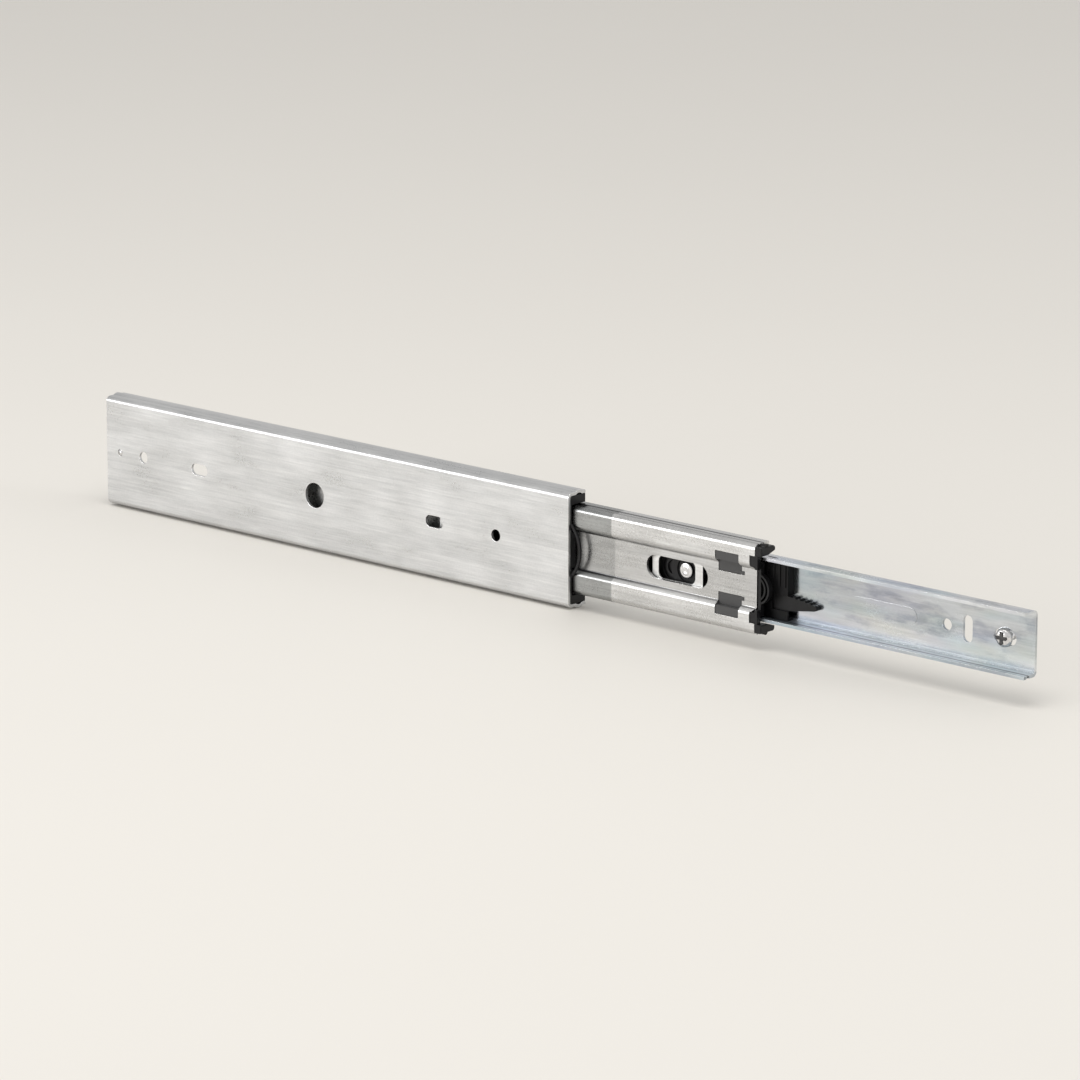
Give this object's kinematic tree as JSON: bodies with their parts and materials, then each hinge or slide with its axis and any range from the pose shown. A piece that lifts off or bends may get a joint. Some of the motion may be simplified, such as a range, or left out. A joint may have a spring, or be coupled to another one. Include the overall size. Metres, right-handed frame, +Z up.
{
  "type": "drawer slide",
  "caption": "Telescopic ball-bearing drawer slide with three nested steel members, ball cages, plastic end stops and a release lever, drawn part way out.",
  "frame": {"origin": "on the wall face of the cabinet member, at mid height, level with its front end", "axes": "+X forward, the way the drawer opens; +Y from the cabinet wall to the drawer; +Z up"},
  "size_m": [0.4605, 0.0245, 0.0454],
  "materials": {
    "cabinet_steel": "bright zinc plate",
    "intermediate_steel": "bright neutral zinc plate with lengthwise rolling streaks",
    "drawer_steel": "blue-white zinc plate with faint iridescence",
    "cage_steel": "thin zinc strip",
    "ball_steel": "polished bearing steel",
    "black_plastic": "black moulded acetal",
    "lever_plastic": "black moulded nylon",
    "rivet_steel": "bright zinc",
    "screw_steel": "bright zinc"
  },
  "bodies": {
    "cabinet": {"cabinet_member": "cabinet_steel", "cabinet_front_stop": "black_plastic", "cabinet_rear_buffer": "black_plastic", "rear_buffer_rivet": "rivet_steel"},
    "outer_cage": {"outer_ball_cage": "cage_steel", "outer_balls_upper": "ball_steel", "outer_balls_lower": "ball_steel"},
    "intermediate": {"intermediate_member": "intermediate_steel", "intermediate_front_bumper": "black_plastic", "intermediate_rear_buffer": "black_plastic"},
    "inner_cage": {"inner_ball_cage": "cage_steel", "inner_balls_upper": "ball_steel", "inner_balls_lower": "ball_steel"},
    "drawer": {"drawer_member": "drawer_steel", "lever_housing": "lever_plastic", "housing_rivet": "rivet_steel", "housing_pin": "lever_plastic", "lever_rivet": "rivet_steel", "drawer_screw": "screw_steel"},
    "lever": {"release_lever": "lever_plastic"}
  },
  "joints": [
    {"name": "intermediate_slide", "type": "slide", "parent": "cabinet", "child": "intermediate", "axis": [1, 0, 0], "range_m": [-0.0935, 0.0395]},
    {"name": "outer_cage_slide", "type": "slide", "parent": "cabinet", "child": "outer_cage", "axis": [1, 0, 0], "range_m": [-0.04675, 0.01975]},
    {"name": "drawer_slide", "type": "slide", "parent": "intermediate", "child": "drawer", "axis": [1, 0, 0], "range_m": [-0.117, 0]},
    {"name": "inner_cage_slide", "type": "slide", "parent": "intermediate", "child": "inner_cage", "axis": [1, 0, 0], "range_m": [-0.0585, 0]},
    {"name": "lever_hinge", "type": "hinge", "parent": "drawer", "child": "lever", "pos_m": [0.0515, 0.0097, 0], "axis": [0, 1, 0], "range_deg": [0, 2.5], "stiffness_Nm_per_rad": 0.12}
  ],
  "couplings": [
    {"joint": "outer_cage_slide", "follows": "intermediate_slide", "ratio": 0.5},
    {"joint": "inner_cage_slide", "follows": "drawer_slide", "ratio": 0.5}
  ]
}
